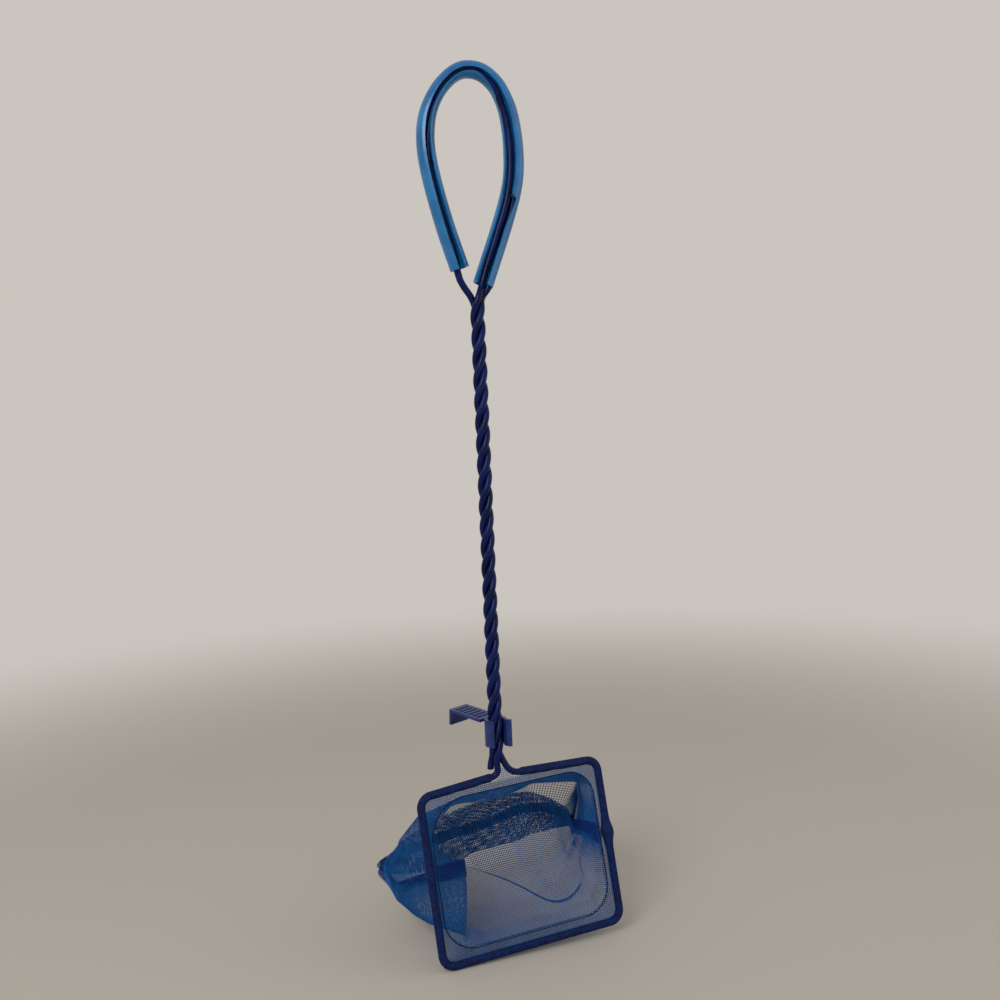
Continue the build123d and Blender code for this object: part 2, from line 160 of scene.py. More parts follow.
# %% Finishes of the hard pieces
wire_coating = finish(
    "wire_coating", srgb(5, 15, 58), srgb(10, 27, 88), patch=9.0, roughness=(0.18, 0.34),
    grain=0.8, bump=0.02, sockets={"Specular IOR Level": 0.15},
)
wire_core = finish(
    "wire_core", srgb(150, 152, 156), srgb(190, 192, 196), patch=2.0, roughness=(0.25, 0.4),
    grain=0.3, bump=0.01, sockets={"Metallic": 1.0},
)
clear_sleeve = finish(
    "clear_sleeve", srgb(16, 120, 190), srgb(40, 150, 216), patch=14.0, roughness=(0.16, 0.3),
    grain=2.5, bump=0.05, sockets={"Transmission Weight": 0.45},
)
clip_plastic = finish(
    "clip_plastic", srgb(18, 34, 90), srgb(32, 54, 122), patch=5.0, roughness=(0.25, 0.4),
    grain=0.6, bump=0.03, sockets={"Specular IOR Level": 0.4},
)
lengths = ["hoop_wire", "shaft_strand_1", "shaft_strand_2", "shaft_strand_3", "loop_tail"]
paint(wire_coating, *[length + "_coating" for length in lengths])
paint(wire_core, *[length + "_core" for length in lengths])
paint(clip_plastic, "rim_clip")
print("finished", 2 * len(lengths) + 1, "nodes of the frame")

# %% [markdown]
# ## The hoop's own frame
# The bag is easiest to think of from the hoop: x to the right of its middle, y back into the bag and
# z up from its bottom wire. The hoop leans forward and a little sideways from the neck, so two turns
# and a shift carry those places into the part's frame.

# %% Hoop sizes, mm
neck_height = -338.05
hoop_tilt = radians(-9.0)
hoop_lean = radians(-3.7)
hoop_shift = 5.2
hoop_drop = 98.9
hoop_width = 97.0
hoop_height = 84.2
hoop_corner = 6.0
roof_height = 87.2
left_leg, right_leg = 4.5, 10.5
seam_height = 46.0


def from_hoop(points):
    """Part frame, metres = turn about x by the tilt, of the turn about y by the lean, of the point
    moved from the hoop's bottom wire to the neck."""
    points = np.asarray(points, float) + [hoop_shift, 0, -hoop_drop]
    lean = np.array(
        [[cos(hoop_lean), 0, sin(hoop_lean)], [0, 1, 0], [-sin(hoop_lean), 0, cos(hoop_lean)]]
    )
    tilt = np.array(
        [[1, 0, 0], [0, cos(hoop_tilt), -sin(hoop_tilt)], [0, sin(hoop_tilt), cos(hoop_tilt)]]
    )
    turned = points @ (tilt @ lean).T + [0, 0, neck_height]
    return turned * mm


def new_piece(name, points, faces, material, slot, place=from_hoop):
    """Mesh object at the origin from an array of places, mm, which place carries into the part's frame,
    and an array of corner numbers."""
    mesh = bpy.data.meshes.new(name)
    mesh.from_pydata(place(points), [], faces)
    mesh.polygons.foreach_set("use_smooth", np.full(len(mesh.polygons), True))
    mesh.materials.append(material)
    mesh.update()
    piece = bpy.data.objects.new(name, mesh)
    bpy.context.scene.collection.objects.link(piece)
    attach(piece, "net")
    print(name, len(mesh.vertices), "corners,", len(mesh.polygons), "faces")
    return piece


# %% [markdown]
# ## Paths
# Hem, stitching and seams all run along paths. A path is a list of corners, rounded by arcs that touch
# the straight runs, and then divided into even steps.


# %% Path helpers
arc_places = 25


def even_steps(points, step):
    """Points along a polyline at equal distances, close to step, from its first point to its last."""
    points = np.asarray(points, float)
    reach = np.concatenate([[0], np.cumsum(np.linalg.norm(np.diff(points, axis=0), axis=1))])
    places = np.linspace(0, reach[-1], max(int(round(reach[-1] / step)), 1) + 1)
    return np.stack([np.interp(places, reach, points[:, i]) for i in range(points.shape[1])], axis=1)


def rounded(corners, radii, step):
    """Straight runs with each inner corner P replaced by an arc of its radius r that starts
    r tan(turn / 2) before P and ends as far after it, in even steps."""
    corners = np.asarray(corners, float)
    line = [corners[:1]]
    for before, corner, after, radius in zip(corners, corners[1:], corners[2:], radii):
        way_in = (corner - before) / np.linalg.norm(corner - before)
        way_out = (after - corner) / np.linalg.norm(after - corner)
        turn = np.arccos(np.clip(way_in @ way_out, -1, 1))
        start = corner - way_in * radius * np.tan(turn / 2)
        side = way_out - way_in * (way_in @ way_out)
        side = side / np.linalg.norm(side)
        angles = np.linspace(0, turn, arc_places)[:, None]
        line.append(start + radius * (np.sin(angles) * way_in + (1 - np.cos(angles)) * side))
    line.append(corners[-1:])
    return even_steps(np.concatenate(line), step)


def relaxed(points, passes):
    """Polyline smoothed by averaging each point with its two neighbours, its ends held."""
    points = points.copy()
    for _ in range(passes):
        points[1:-1] = (points[:-2] + 2 * points[1:-1] + points[2:]) / 4
    return points


def unit(vectors):
    """Vectors divided by their lengths."""
    return vectors / np.linalg.norm(vectors, axis=-1, keepdims=True)


def ring_points(line, radius, angle):
    """Place = line + r (cos a outwards + sin a back), with a radius r for each step and angle a."""
    back = np.array([0.0, 1.0, 0.0])
    outward = np.cross(back, unit(np.gradient(line, axis=0)))
    points = line[:, None] + radius[..., None] * (
        np.cos(angle)[None, :, None] * outward[:, None] + np.sin(angle)[None, :, None] * back
    )
    return points.reshape(-1, 3)


def ring_faces(rings, sides):
    """Corner numbers of the quads between neighbouring rings of a tube with that many sides."""
    ring, side = np.meshgrid(np.arange(rings - 1), np.arange(sides), indexing="ij")
    after = (side + 1) % sides
    return np.stack(
        [ring * sides + side, ring * sides + after, (ring + 1) * sides + after, (ring + 1) * sides + side],
        axis=-1,
    ).reshape(-1, 4)


# %% [markdown]
# ## Grip sleeve
# The sleeve is a soft plastic tube, slit along its front and pushed over the loop. Bending flattens it
# at the shoulders and the top, and the slit wanders and gapes where two wires lie in it. A swept
# circle can't do that. Here the outside edge is one smooth line, and the section is an open ring
# whose width, and the place and size of its slit, change along that line.

# %% Sleeve shape, mm
sleeve_edge = [
    (-12.9, -93.6), (-19.9, -70.9), (-25.6, -47), (-27.3, -30.5), (-25.3, -17), (-19.4, -5), (-12, 3.3),
    (-4.9, 7.7), (2, 8.8), (8.4, 7.6), (14.5, 3.8), (20, -2.7), (25, -14.5), (27.4, -32), (26.4, -49.8),
    (20.4, -70), (8.3, -101.7),
]
width_places = [0, 0.3, 0.36, 0.42, 0.49, 0.57, 0.64, 0.72, 1]
sleeve_widths = [9.8, 9.0, 8.2, 8.0, 8.4, 8.6, 9.6, 10.4, 10.4]
slit_places = [0, 0.15, 0.31, 0.42, 0.49, 0.57, 0.69, 0.808, 0.812, 0.88, 1]
slit_turns = [2, 4, 1, 6, 14, 37, 40, 38, 14, 26, 24]
slit_halves = [21, 20, 18, 15, 13, 26, 34, 32, 45, 33, 35]
sleeve_wall = 1.0
sleeve_depth = 10.2
sleeve_step = 1.0
sleeve_sides = 29
span_places = 40
sharp_angle = radians(40)


def bent_line(points, step):
    """Smooth line through the points: between two of them, a cubic whose slopes at its ends are half
    of the way from the point before to the point after, in even steps."""
    points = np.asarray(points, float)
    padded = np.concatenate([2 * points[:1] - points[1:2], points, 2 * points[-1:] - points[-2:-1]])
    t = np.linspace(0, 1, span_places)[:, None]
    before, start = padded[:-3, None], padded[1:-2, None]
    end, after = padded[2:-1, None], padded[3:, None]
    cubic = 3 * (start - end) + after - before
    square = 2 * before - 5 * start + 4 * end - after
    line = start + 0.5 * t * (end - before + t * (square + t * cubic))
    return even_steps(line.reshape(-1, 2), step)


def sleeve_shell(edge):
    """Open ring at each step of the edge line: place = middle + a sin(t) outwards - b cos(t) forwards,
    with half-width a and half-depth b, for t from one lip of the slit round the back to the other,
    once outside and once inside the wall."""
    share = np.linspace(0, 1, len(edge))
    half = np.interp(share, width_places, sleeve_widths) / 2
    way = unit(np.gradient(edge, axis=0))
    outward = np.stack([-way[:, 1], way[:, 0]], axis=1)
    middle = edge - half[:, None] * outward
    turn = np.radians(np.interp(share, slit_places, slit_turns))
    gap = np.radians(np.interp(share, slit_places, slit_halves))
    round_back = np.linspace(0, 1, sleeve_sides)
    t = -turn[:, None] + gap[:, None] + (2 * pi - 2 * gap[:, None]) * round_back
    rings = []
    for inset, angles in ((0, t), (sleeve_wall, t[:, ::-1])):
        aside = (half[:, None] - inset) * np.sin(angles)
        back = -(sleeve_depth / 2 - inset) * np.cos(angles)
        flat = middle[:, None] + aside[..., None] * outward[:, None]
        rings.append(np.stack([flat[..., 0], back, flat[..., 1]], axis=-1))
    return np.concatenate(rings, axis=1).reshape(-1, 3)


def in_frame(points):
    """Part frame, metres, from places in the part's frame in mm."""
    return points * mm


# %% Sleeve
sleeve_line = bent_line(sleeve_edge, sleeve_step)
ring = 2 * sleeve_sides
walls = ring_faces(len(sleeve_line), ring)
side = np.arange(sleeve_sides - 1)
cap = np.stack([side, side + 1, ring - 2 - side, ring - 1 - side], axis=1)
far_cap = cap[:, ::-1] + (len(sleeve_line) - 1) * ring
sleeve = new_piece(
    "split_grip_sleeve", sleeve_shell(sleeve_line), np.concatenate([walls[:, ::-1], cap, far_cap]),
    clear_sleeve, "grip_sleeve", in_frame,
)
sleeve.data.set_sharp_from_angle(angle=sharp_angle)
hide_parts("grip_sleeve")
print("sleeve", len(sleeve_line) * sleeve_step, "mm long")

# %% [markdown]
# ## Wire of the loop
# Inside the sleeve, the wire bends more roundly than the frame's wire does: it stands a little further
# out at the top and both shoulders, keeps to the slit on the left, and is pressed forward into it. The
# frame's own surface is already good, so a copy of it is moved, and both of its ends stay where they
# join the twisted shaft.

# %% Rounder loop wire, mm and degrees
loop_middle = np.array([0.0, 0.0, -16.0])
shoulder_angle, shoulder_spread, shoulder_out = 46, 21, 2.2
crown_angle, crown_spread, crown_out = 90, 30, 1.6
left_heights_and_moves = [
    (-97, 0), (-92, 0.9), (-86, 2.0), (-74, 1.9), (-60, 0.3), (-44, -1.4), (-30, -1.7), (-18, -1.0),
    (-4, 0), (6, 0),
]
left_fade = 5
into_slit = 1.7
feet_height, feet_fade = -93, 14


def smooth(share):
    """Zero below 0, one above 1, and 3 s^2 - 2 s^3 between them."""
    share = np.clip(share, 0, 1)
    return share * share * (3 - 2 * share)


def rounder(points):
    """Each place moves away from the loop's middle by shoulder out exp(-((a - shoulder) / spread)^2)
    and the same for the crown, a being its angle over the level line through that middle, in degrees.
    Over the feet it moves forward by a share that rises smoothly, and on the left it follows the
    smooth line through the given heights and moves."""
    away = (points - loop_middle) * [1, 0, 1]
    angle = np.degrees(np.arctan2(away[:, 2], np.abs(away[:, 0])))
    out = shoulder_out * np.exp(-(((angle - shoulder_angle) / shoulder_spread) ** 2))
    out = out + crown_out * np.exp(-(((angle - crown_angle) / crown_spread) ** 2))
    x, z = points[:, 0], points[:, 2]
    moves = bent_line(left_heights_and_moves, sleeve_step)
    left = np.interp(z, moves[:, 0], moves[:, 1]) * (z > moves[0, 0]) * smooth(-x / left_fade)
    forward = -into_slit * smooth((z - feet_height) / feet_fade)
    return points + out[:, None] * unit(away) + np.stack([left, forward, 0 * z], axis=1)


def merged_copy(node):
    """Corners, mm, and triangles of a node of the frame, with corners at one place made one."""
    source = nodes[node].data
    corners = np.empty(len(source.vertices) * 3)
    source.vertices.foreach_get("co", corners)
    numbers = np.empty(len(source.loops), int)
    source.loops.foreach_get("vertex_index", numbers)
    corners, merged = np.unique((corners.reshape(-1, 3) / mm).round(3), axis=0, return_inverse=True)
    faces = merged.reshape(-1)[numbers].reshape(-1, 3)
    whole = (faces != np.roll(faces, 1, axis=1)).all(axis=1)
    return corners, faces[whole]


for node, material, slot in (
    ("loop_wire_coating", wire_coating, "wire_coating"),
    ("loop_wire_core", wire_core, "wire_core"),
):
    corners, faces = merged_copy(node)
    wire = new_piece("rounder_" + node, rounder(corners), faces, material, slot, in_frame)
    wire.data.set_sharp_from_angle(angle=sharp_angle)
    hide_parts(node)

# %% [markdown]
# ## Hem
# The netting is folded round the hoop's wire. Pulled tight, its threads show as a fine grid of ridges.
# A tube follows the wire, and its radius rises along two families of lines: rings round the wire,
# a little slanted, and rows along it.

# %% Hem casing
thread_pitch = 1.0
wire_radius = 1.7
hem_radius = 2.15
hem_ridge = 0.3
hem_rows = 12
hem_slant = 1.2
hem_step = 0.17
hem_sides = 42
bulge_height = 1.5
bulge_reach = 4.5
bulge_ridge = 0.2
end_taper = 1.2

hem_cloth = finish(
    "hem_cloth", srgb(6, 19, 58), srgb(12, 38, 96), patch=2.0, roughness=(0.5, 0.7),
    grain=0.25, bump=0.05, sockets={"Specular IOR Level": 0.15},
)
left_x, right_x = -hoop_width / 2, hoop_width / 2
apex = np.array([-hoop_shift, 0, roof_height])
top_left = np.array([left_x, 0, hoop_height])
top_right = np.array([right_x, 0, hoop_height])
hoop_line = rounded(
    [
        apex + unit(top_left - apex) * left_leg,
        top_left,
        [left_x, 0, 0],
        [right_x, 0, 0],
        top_right,
        apex + unit(top_right - apex) * right_leg,
    ],
    [hoop_corner] * 4,
    hem_step,
)


def ridge(turns):
    """Rounded ridge at each whole number of turns: the fourth power of a cosine."""
    return np.cos(pi * turns) ** 4


def hem_tube(line):
    """Tube round the line with r = hem radius - ridge height (1 - the higher of the ring ridge and the
    row ridge) + a bulge where the right seam is sewn in. At both ends r narrows to the wire."""
    angle = np.linspace(0, 2 * pi, hem_sides, endpoint=False)
    along = np.arange(len(line))[:, None] * hem_step
    rings = ridge(along / thread_pitch + hem_slant * np.sin(angle) / 2)
    rows = ridge(hem_rows * angle / (2 * pi) + 0 * along)
    radius = hem_radius - hem_ridge * (1 - np.maximum(rings, rows))
    from_seam = np.linalg.norm(line - [right_x, 0, seam_height], axis=1)[:, None]
    radius = radius + bulge_height * np.exp(-((from_seam / bulge_reach) ** 2)) * (1 - bulge_ridge * rings)
    from_end = np.minimum(along, along[::-1])
    radius = wire_radius + (radius - wire_radius) * np.minimum(from_end / end_taper, 1)
    return ring_points(line, radius, angle)


hem = new_piece(
    "hem_of_netting", hem_tube(hoop_line), ring_faces(len(hoop_line), hem_sides), hem_cloth, "hem_cloth"
)
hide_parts("hem_casing")

# %% [markdown]
# ## Netting
# The cloth is a grid of fine threads. A flat sheet with painted holes would look the same from every
# side, but real threads close up when the cloth is seen at a slant, and that is what makes the bag's
# sides dark. So each thread is a thin three-sided tube along one line of a grid of crossings. Where
# the cloth was pressed, its threads are broader and flatter.

# %% Netting helper, sizes as shares of a thread's width
thread_lift = 1 / 8
thread_height = 0.48
pressed_height = 0.28
pressed_width = 1.12


def thread_tubes(lines, normals, width, pressed):
    """Threads along the first axis of a grid: at each crossing, three corners, one lifted by two
    thirds of the thread's height along the cloth's normal, and two half its width to each side and a
    third of its height down. Pressed, from 0 to 1, makes a thread broader and flatter."""
    way = unit(np.gradient(lines, axis=0))
    across = unit(np.cross(way, normals))
    wide = width * (1 + (pressed_width - 1) * pressed)[..., None, None]
    high = wide * (thread_height + (pressed_height - thread_height) * pressed)[..., None, None]
    aside = np.array([0, -1 / 2, 1 / 2])[:, None]
    lifted = np.array([2 / 3, -1 / 3, -1 / 3])[:, None]
    points = lines[:, :, None] + wide * aside * across[:, :, None] + high * lifted * normals[:, :, None]
    steps, count = lines.shape[:2]
    number = np.arange(steps * count * 3).reshape(steps, count, 3)
    after = np.roll(number, -1, axis=2)
    faces = np.stack([number[:-1], number[1:], after[1:], after[:-1]], axis=-1)
    return points.reshape(-1, 3), faces


def netting(grid, width, keep=None, pressed=None):
    """Threads along both ways of a grid of crossings, one way over the other. Keep, a mask of
    crossings, says where there is cloth. Returns corners and faces, without unused corners."""
    pressed = np.zeros(grid.shape[:2]) if pressed is None else pressed
    normals = unit(np.cross(np.gradient(grid, axis=1), np.gradient(grid, axis=0)))
    lift = normals * width * thread_lift
    down, down_faces = thread_tubes(grid + lift, normals, width, pressed)
    crossed, crossed_normals = (grid - lift).swapaxes(0, 1), normals.swapaxes(0, 1)
    over, over_faces = thread_tubes(crossed, crossed_normals, width, pressed.T)
    if keep is not None:
        down_faces = down_faces[keep[:-1] & keep[1:]]
        over_faces = over_faces[(keep[:, :-1] & keep[:, 1:]).T]
    faces = np.concatenate([down_faces.reshape(-1, 4), over_faces.reshape(-1, 4) + len(down)])
    used, numbers = np.unique(faces, return_inverse=True)
    return np.concatenate([down, over])[used], numbers.reshape(-1, 4)


def joined(meshes):
    """One array of corners and one of faces from several meshes."""
    firsts = np.cumsum([0] + [len(points) for points, _ in meshes])
    faces = [quads + first for (_, quads), first in zip(meshes, firsts)]
    return np.concatenate([points for points, _ in meshes]), np.concatenate(faces)


# %% [markdown]
# ## Flap and gusset
# Between the wire and the stitch line lies the hem's spare cloth, two layers of netting in the hoop's
# plane. Between the two legs at the neck it shows as a small triangle. Both are flat grids, cut to
# their outlines by a mask.

# %% Flap and gusset
thread_width = 0.325
flap_thread_width = 0.7 * thread_width
flap_lap = 1.0
layer_gap = 0.45
mouth_left, mouth_right = -45.3, 43.9
mouth_low, mouth_high = 6.0, 81.0
corner_top_left, corner_top_right, corner_low_right, corner_low_left = 21.0, 14.0, 15.0, 16.0
gusset_top = np.array([-3.2, 92.4])
gusset_low = 85.0
gusset_left, gusset_right = -7.6, 3.2

net_cloth = finish(
    "net_cloth", srgb(18, 80, 146), srgb(30, 100, 168), patch=6.0, roughness=(0.45, 0.6),
    grain=0.4, bump=0.02, sockets={"Specular IOR Level": 0.15},
)


def inside_mouth(x, z, grow):
    """True inside the stitch line's rectangle, moved out by grow, each corner with its own radius."""
    upper = np.where(x < 0, corner_top_left, corner_top_right)
    lower = np.where(x < 0, corner_low_left, corner_low_right)
    corner = np.where(z > seam_height, upper, lower) + grow
    out_x = np.abs(x - (mouth_left + mouth_right) / 2) - (mouth_right - mouth_left) / 2 - grow + corner
    out_z = np.abs(z - (mouth_low + mouth_high) / 2) - (mouth_high - mouth_low) / 2 - grow + corner
    return np.hypot(np.maximum(out_x, 0), np.maximum(out_z, 0)) < corner


def flat_netting(keep_rule, layers):
    """Flat grids half a pitch apart, one behind the other, cut by a rule of x and z. The cloth's area
    is a square pitch for each crossing that is kept."""
    meshes = []
    area = 0.0
    for layer in range(layers):
        start = layer * thread_pitch / 2
        x, z = np.meshgrid(
            np.arange(left_x + start, right_x, thread_pitch),
            np.arange(start, gusset_top[1], thread_pitch),
            indexing="ij",
        )
        depth = (layer - (layers - 1) / 2) * layer_gap
        grid = np.stack([x, np.full_like(x, depth), z], axis=-1)
        keep = keep_rule(x, z)
        meshes.append(netting(grid, flap_thread_width, keep))
        area += keep.sum() * (thread_pitch * mm) ** 2
    return *joined(meshes), area


def in_flap(x, z):
    """Between the wire and the stitch line, under the roof that rises to the neck."""
    corners = [left_x, apex[0] - left_leg, apex[0] + right_leg, right_x]
    roof = np.interp(x, corners, [hoop_height, gusset_low, gusset_low, hoop_height])
    return (z < roof) & ~inside_mouth(x, z, -flap_lap)


def in_gusset(x, z):
    """Between the legs: its sides run straight from the flap up to where the legs meet."""
    left = np.interp(z, [gusset_low, gusset_top[1]], [gusset_left, gusset_top[0]])
    right = np.interp(z, [gusset_low, gusset_top[1]], [gusset_right, gusset_top[0]])
    return (x > left) & (x < right) & (z > gusset_low - thread_pitch)


*flap_mesh, flap_area = flat_netting(in_flap, 2)
flap = new_piece("hem_flap_netting", *flap_mesh, net_cloth, "mesh_cloth")
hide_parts("hem_flap")
*gusset_mesh, gusset_area = flat_netting(in_gusset, 1)
gusset = new_piece("neck_gusset_netting", *gusset_mesh, net_cloth, "mesh_cloth")
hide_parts("neck_gusset")
print("flap", round(flap_area * 1e4, 1), "and gusset", round(gusset_area * 1e4, 1), "square cm of cloth")

# %% [markdown]
# ## Stitch line
# A lockstitch shows as a row of short dashes of thread. The tube swells in the middle of each stitch
# and pinches where the needle went through.

# %% Stitching
stitch_length = 2.4
stitch_radius = 0.3
stitch_step = 0.3
stitch_sides = 6
stitch_front = -0.75

sewing_thread = finish(
    "sewing_thread", srgb(6, 14, 46), srgb(12, 24, 66), patch=4.0, roughness=(0.45, 0.6),
    grain=0.2, bump=0.03, sockets={"Specular IOR Level": 0.15},
)
stitch_line = rounded(
    [
        [0, stitch_front, mouth_low],
        [mouth_right, stitch_front, mouth_low],
        [mouth_right, stitch_front, mouth_high],
        [mouth_left, stitch_front, mouth_high],
        [mouth_left, stitch_front, mouth_low],
        [0, stitch_front, mouth_low],
    ],
    [corner_low_right, corner_top_right, corner_top_left, corner_low_left],
    stitch_step,
)


def stitch_tube(line):
    """Tube round the line with r = full radius (0.5 + 0.5 |sin(pi s / stitch length)|)."""
    angle = np.linspace(0, 2 * pi, stitch_sides, endpoint=False)
    along = np.arange(len(line))[:, None] * stitch_step
    radius = stitch_radius * (0.5 + 0.5 * np.abs(np.sin(pi * along / stitch_length))) + 0 * angle
    return ring_points(line, radius, angle)


stitches = new_piece(
    "hem_stitches", stitch_tube(stitch_line), ring_faces(len(stitch_line), stitch_sides),
    sewing_thread, "sewing_thread",
)
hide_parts("hem_stitching")

# %% [markdown]
# ## Shape of the bag
# The bag is two panels, sewn together along both sides and along the far edge. It has fallen back
# behind the hoop, and its slack lies in folds. Each panel is skinned over the lines that can be seen
# in the cloth, from the mouth to the far seam, with one place for each column of cloth round the
# mouth. The skin is drawn straight between those places and then relaxed, as cloth relaxes.

# %% Seam lines, mm from the hoop's bottom middle
left_seam = [(-45.3, 0, 46), (-24.5, 22, 39), (-42, 36, 34), (-52, 45, 31), (-58, 50, 29)]
right_seam = [(43.9, 0, 46), (45.5, 18, 43.5), (47.3, 36, 40.5), (50.5, 60, 36)]
far_seam = [
    (-58, 50, 29), (-66, 57, 40), (-54, 58, 44), (-29.5, 57, 48), (1, 57, 50),
    (19.5, 57, 53.5), (37, 57, 50.5), (49, 58, 41.5), (50.5, 60, 36),
]

# %% Fold lines of the two panels
upper_columns = [0, 14, 30, 48.6, 70.6, 92.6, 111, 127, 143]
hollow_columns = [0, 14, 30, 46, 56, 66, 91, 99, 111, 127, 143]
crease_columns = [0, 14, 30, 46, 51, 58, 68, 79, 90, 96, 104, 112, 127, 143]
upper_lines = [
    (upper_columns,
     [(-24.5, 22, 39), (-38, 24, 52), (-46.5, 29, 69), (-25, 28, 73), (2, 28, 73.5),
      (27, 28, 74), (47, 28, 70), (48, 28, 57), (46.5, 28, 41.5)]),
    (crease_columns,
     [(-42, 36, 34), (-50, 46, 46), (-53.5, 53, 53), (-27.3, 54, 59), (-21.7, 54, 64.2),
      (-13.9, 54, 64.5), (-4.4, 54, 62.3), (7.6, 54, 62.3), (20, 54, 64.5), (26.5, 54, 66.7),
      (40.6, 54, 64.3), (56, 55, 61.5), (56, 56, 52), (49, 50, 38)]),
    (upper_columns,
     [(-52, 45, 31), (-60, 53, 42), (-53.5, 58, 47), (-30, 59, 50), (-6, 59, 50),
      (18, 59, 50), (46, 60, 46), (52, 60, 41), (50, 57, 36.6)]),
    (hollow_columns,
     [(-56, 48.5, 29.5), (-64, 55.5, 36), (-50, 59, 31), (-32, 60, 29), (-20, 61, 29.5), (-10, 61, 33),
      (18, 61, 33.5), (26, 61, 35.5), (42, 61, 35.5), (49, 60.5, 35.5), (50.3, 59, 36.2)]),
]
lower_columns = [0, 13, 26, 38, 56.4, 78.4, 100.4, 118.9, 131, 144, 156]
lower_lines = [
    (lower_columns,
     [(-24.5, 22, 39), (-26, 17, 31), (-30, 10, 18), (-34, 5, 10), (-24, 14, 8), (-2, 15, 8),
      (20, 15, 8), (37, 12, 9.5), (42, 12, 18), (43.5, 14, 31), (45.5, 18, 43.5)]),
    (lower_columns,
     [(-42, 36, 34), (-50, 35, 26), (-54, 32, 18), (-48, 25, 14), (-28, 33, 17), (-6, 33, 17),
      (16, 33, 17), (31, 30, 17), (38, 30, 21), (43, 32, 29), (47.3, 36, 40.5)]),
    (lower_columns,
     [(-52, 45, 31), (-60, 45, 25), (-60, 44.5, 24), (-51, 42, 23), (-31, 47, 27), (-10, 48, 27),
      (12, 48, 27), (28, 47, 27), (38, 46, 28), (45, 47, 31), (48.6, 46, 38.5)]),
    (lower_columns,
     [(-55, 47.5, 30), (-62.5, 50, 31), (-61.5, 52, 35), (-51, 52, 38), (-32, 52, 42), (-11, 52, 44),
      (10, 52, 44), (26, 52, 43), (38, 52, 41), (47, 52, 37), (49.5, 52, 37.5)]),
    (lower_columns,
     [(-57, 49, 29.5), (-64, 54, 37), (-62, 55.5, 43), (-51.5, 54.5, 53), (-32, 54, 60.5), (-12, 54, 64.5),
      (9, 54, 66), (26, 54, 64), (38, 54.5, 57), (48, 55.5, 48.5), (50.2, 56.5, 36.5)]),
]

# %% Skin over the lines
skin_step = 0.5
skin_passes = 14
seam_passes = 40


def hats(places, knots):
    """Weights that draw straight lines between knots: one row for each place, one column a knot."""
    return np.stack([np.interp(places, knots, row) for row in np.eye(len(knots))], axis=1)


def skin(mouth, lines):
    """Grid of places, mouth to far seam by left to right. The mouth and the three seams are held, and
    every other place is repeatedly averaged with its four neighbours."""
    columns = lines[0][0]
    far = relaxed(even_steps(far_seam, skin_step), seam_passes)
    around = np.linspace(0, columns[-1], int(columns[-1] / skin_step) + 1)
    reach = np.linspace(0, 1, len(mouth))
    mouth_row = np.stack([np.interp(around / columns[-1], reach, mouth[:, i]) for i in range(3)], axis=1)
    reach = np.linspace(0, 1, len(far))
    far_row = np.stack([np.interp(around / columns[-1], reach, far[:, i]) for i in range(3)], axis=1)
    inner = np.stack([hats(around, knots) @ np.array(places, float) for knots, places in lines])
    rows = np.concatenate([mouth_row[None], inner, far_row[None]])
    gaps = np.linalg.norm(np.diff(rows, axis=0), axis=2).mean(axis=1)
    knots = np.concatenate([[0], np.cumsum(gaps)])
    depth = np.linspace(0, knots[-1], int(knots[-1] / skin_step) + 1)
    grid = np.einsum("vr,rux->vux", hats(depth, knots), rows)
    for edge, seam in ((0, left_seam), (-1, right_seam)):
        line = relaxed(even_steps(seam, skin_step), seam_passes)
        reach = np.linspace(0, 1, len(line))
        share = depth / knots[-1]
        grid[:, edge] = np.stack([np.interp(share, reach, line[:, i]) for i in range(3)], axis=1)
    for _ in range(skin_passes):
        grid[1:-1] = (grid[:-2] + 2 * grid[1:-1] + grid[2:]) / 4
        grid[:, 1:-1] = (grid[:, :-2] + 2 * grid[:, 1:-1] + grid[:, 2:]) / 4
        grid[0], grid[-1] = mouth_row, far_row
    return grid


def crossings(grid, around, deep):
    """Thread crossings: every column of the skin divided into deep equal lengths, and each of those
    rows read at around + 1 even columns."""
    steps = np.linalg.norm(np.diff(grid, axis=0), axis=2)
    reach = np.concatenate([np.zeros((1, grid.shape[1])), np.cumsum(steps, axis=0)])
    share = reach / reach[-1]
    rows = np.linspace(0, 1, deep + 1)
    even = np.stack(
        [
            np.stack([np.interp(rows, share[:, u], grid[:, u, i]) for i in range(3)], axis=1)
            for u in range(grid.shape[1])
        ],
        axis=1,
    )
    places = np.linspace(0, grid.shape[1] - 1, around + 1)
    return np.einsum("cu,vux->vcx", hats(places, np.arange(grid.shape[1])), even)


def mouth_line(z, left_corner, right_corner):
    """Half of the stitch line, from the left seam round by the height z to the right seam."""
    corners = [
        [mouth_left, 0, seam_height], [mouth_left, 0, z], [mouth_right, 0, z], [mouth_right, 0, seam_height]
    ]
    return rounded(corners, [left_corner, right_corner], skin_step)


# %% [markdown]
# ## Small folds
# The slack in the lower panel lies in a shelf above the bag's floor and in two pinches by its right
# side. Modelling them as more rows would bend every other column too. Instead, the finished skin is
# pushed back near each fold line, in the direction that the fold runs back. A step in that push makes
# a shelf, and a narrow hump makes a pinch. The lines are given on an upright plane inside the bag.

